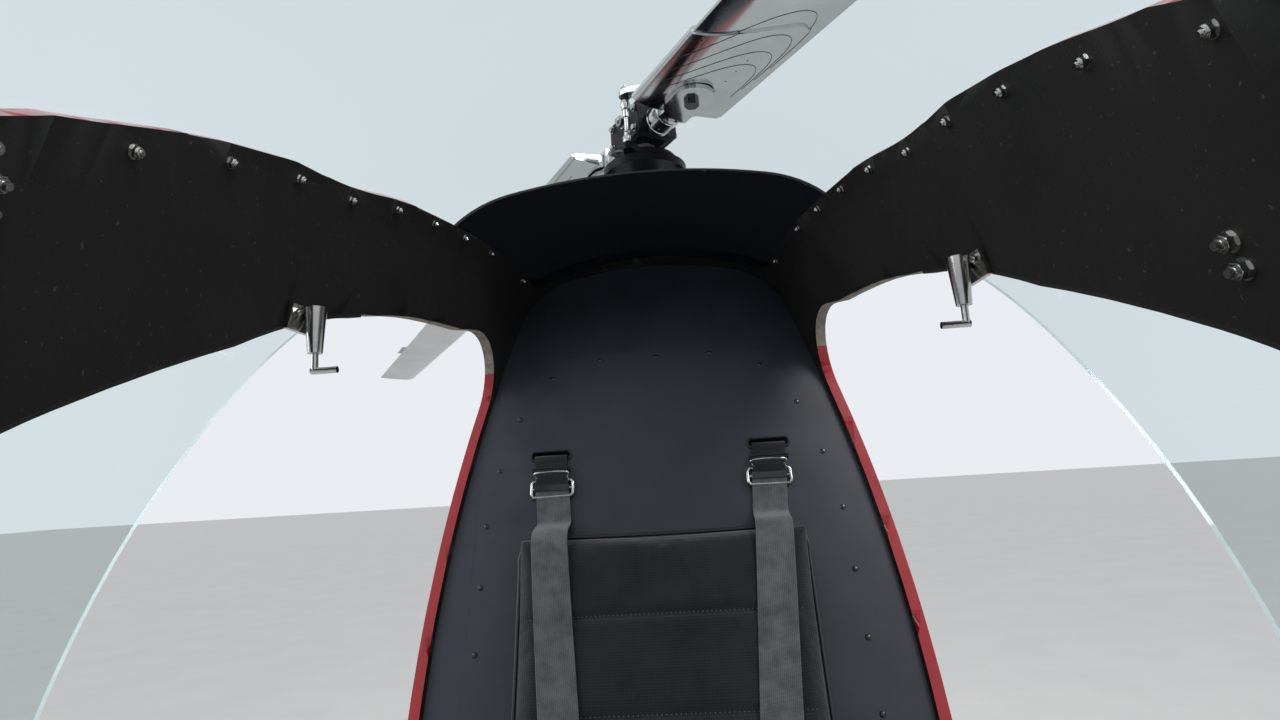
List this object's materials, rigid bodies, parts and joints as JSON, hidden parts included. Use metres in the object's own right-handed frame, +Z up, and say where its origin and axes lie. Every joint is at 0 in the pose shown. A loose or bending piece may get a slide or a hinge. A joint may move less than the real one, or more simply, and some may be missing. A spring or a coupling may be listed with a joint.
{
  "type": "light helicopter cabin with main rotor",
  "caption": "Egg-shaped single-seat helicopter cabin with clear canopy, open doorways, leaning bulkhead, seat, harness, controls, mast and teetering rotor.",
  "frame": {"origin": "centre of the four keel bolts on the underside of the keel beam, straight below the mast", "axes": "+X to the port side, +Y aft, +Z up; the nose points along -Y"},
  "size_m": [3.305, 5.1062, 1.7205],
  "materials": {
    "red_composite": "gloss",
    "clear_acrylic": "polished",
    "dark_composite": "gloss",
    "grey_composite": "satin",
    "black_composite": "matt",
    "black_rubber": "matt",
    "bare_aluminium": "satin",
    "polished_aluminium": "polished",
    "black_anodised": "satin",
    "painted_steel": "satin",
    "bright_steel": "bright",
    "black_fabric": "woven",
    "grey_webbing": "woven"
  },
  "bodies": {
    "root": {"cabin_shell": "red_composite", "aft_cowl": "red_composite", "canopy": "clear_acrylic", "quarter_windows": "clear_acrylic", "roof_panel": "dark_composite", "rear_bulkhead": "grey_composite", "bulkhead_cover": "grey_composite", "door_seals": "black_rubber", "mast_boot": "black_rubber", "floor_panel": "bare_aluminium", "engine_deck": "bare_aluminium", "engine_and_gearbox_block": "bare_aluminium", "keel_beam": "painted_steel", "gear_saddles": "bare_aluminium", "tail_boom_flange": "bare_aluminium", "mast_housing": "black_anodised", "control_rods": "bright_steel", "door_latches": "bright_steel", "exhaust_pipe": "bright_steel", "swashplate_fixed": "bare_aluminium", "seat_pan": "black_composite", "seat_cushion": "black_fabric", "back_cushion": "black_fabric", "lap_belts": "grey_webbing", "shoulder_belts": "grey_webbing", "harness_buckle": "painted_steel", "harness_adjusters": "painted_steel", "cyclic_stick": "painted_steel", "collective_lever": "painted_steel", "console_pedestal": "black_composite", "instrument_console": "black_composite", "rudder_pedals": "bare_aluminium"},
    "rotor": {"mast": "bright_steel", "mast_head": "black_anodised", "swashplate_rotating": "bare_aluminium", "pitch_links": "bright_steel"},
    "teeter": {"teeter_yoke": "black_anodised", "teeter_pin": "bright_steel", "grip_barrels": "polished_aluminium", "blade_forks": "black_anodised", "root_bolts": "painted_steel", "pitch_horns": "bare_aluminium", "rotor_blade_a": "polished_aluminium", "rotor_blade_b": "polished_aluminium"}
  },
  "joints": [
    {"name": "main_rotor_spin", "type": "hinge", "parent": "root", "child": "rotor", "pos_m": [0, 0, 1.42], "axis": [0, 0, 1], "continuous": true},
    {"name": "teeter_hinge", "type": "hinge", "parent": "rotor", "child": "teeter", "pos_m": [0, 0, 1.622], "axis": [-0.848, -0.5299, 0], "range_deg": [-7, 7]}
  ]
}
